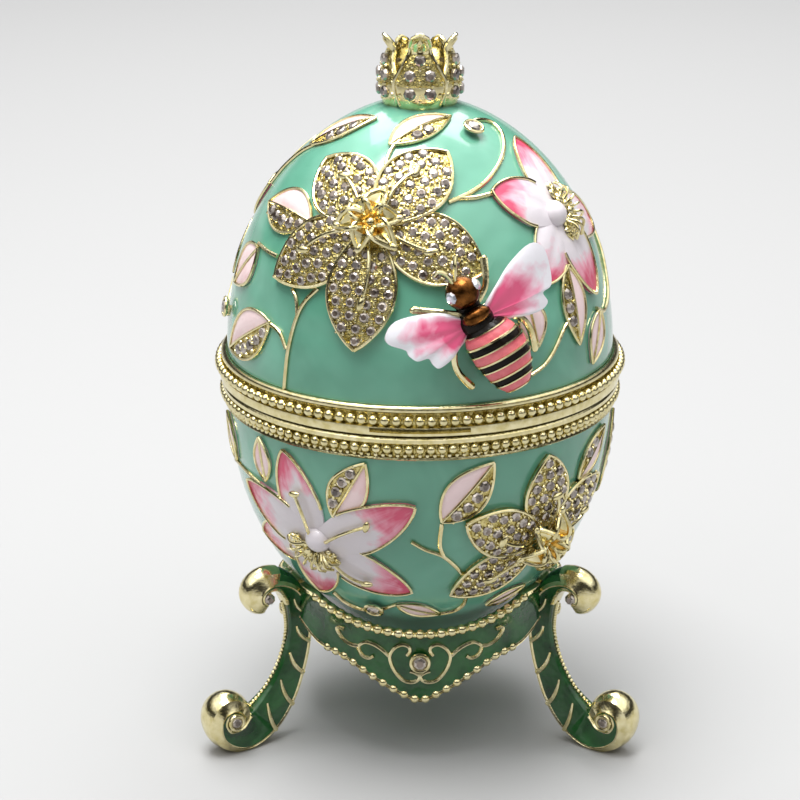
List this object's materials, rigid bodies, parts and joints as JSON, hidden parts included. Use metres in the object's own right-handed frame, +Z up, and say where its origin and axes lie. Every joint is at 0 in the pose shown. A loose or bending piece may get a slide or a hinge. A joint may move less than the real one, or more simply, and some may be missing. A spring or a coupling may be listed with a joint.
{
  "type": "egg trinket box",
  "caption": "Hinged enamelled egg box with jewelled flower and leaf relief, a bee and a crown finial, on a scrolled three-legged stand.",
  "frame": {"origin": "on the table the feet stand on, under the middle of the whole object's bounds", "axes": "+Z up along the egg's axis, -Y towards the front with the nail slot, the hinge on +Y"},
  "size_m": [0.0884, 0.0969, 0.1423],
  "materials": {
    "mint_enamel": "glossy mint enamel over cast metal, pink and white enamel and set stones on the relief",
    "green_enamel": "glossy dark green enamel with gold edges and scrolls",
    "bee_enamel": "glossy coral, black, copper and white enamel with gold ridges",
    "gold": "polished pale gold plating",
    "stone": "faceted foil-backed stone"
  },
  "bodies": {
    "base": {"bowl_bezel": "gold", "bowl_shell": "mint_enamel", "hinge_pin": "gold", "stamens_bowl_far_left": "gold", "stamens_bowl_far_right": "gold", "stamens_bowl_left": "gold", "stamens_bowl_right": "gold", "stand": "green_enamel", "stone_apron_1": "stone", "stone_apron_2": "stone", "stone_apron_3": "stone", "stone_bowl_1": "stone", "stone_leg_1_lower_a": "stone", "stone_leg_1_lower_b": "stone", "stone_leg_1_upper_a": "stone", "stone_leg_1_upper_b": "stone", "stone_leg_2_lower_a": "stone", "stone_leg_2_lower_b": "stone", "stone_leg_2_upper_a": "stone", "stone_leg_2_upper_b": "stone", "stone_leg_3_lower_a": "stone", "stone_leg_3_lower_b": "stone", "stone_leg_3_upper_a": "stone", "stone_leg_3_upper_b": "stone"},
    "lid": {"bee": "bee_enamel", "crown_finial": "gold", "lid_bezel": "gold", "lid_shell": "mint_enamel", "stamens_lid_back": "gold", "stamens_lid_front": "gold", "stamens_lid_left": "gold", "stamens_lid_right": "gold", "stone_lid_1": "stone", "stone_lid_2": "stone"}
  },
  "joints": [
    {"name": "lid_hinge", "type": "hinge", "parent": "base", "child": "lid", "pos_m": [0, 0.0418, 0.074], "axis": [-1, 0, 0], "range_deg": [0, 100]}
  ]
}
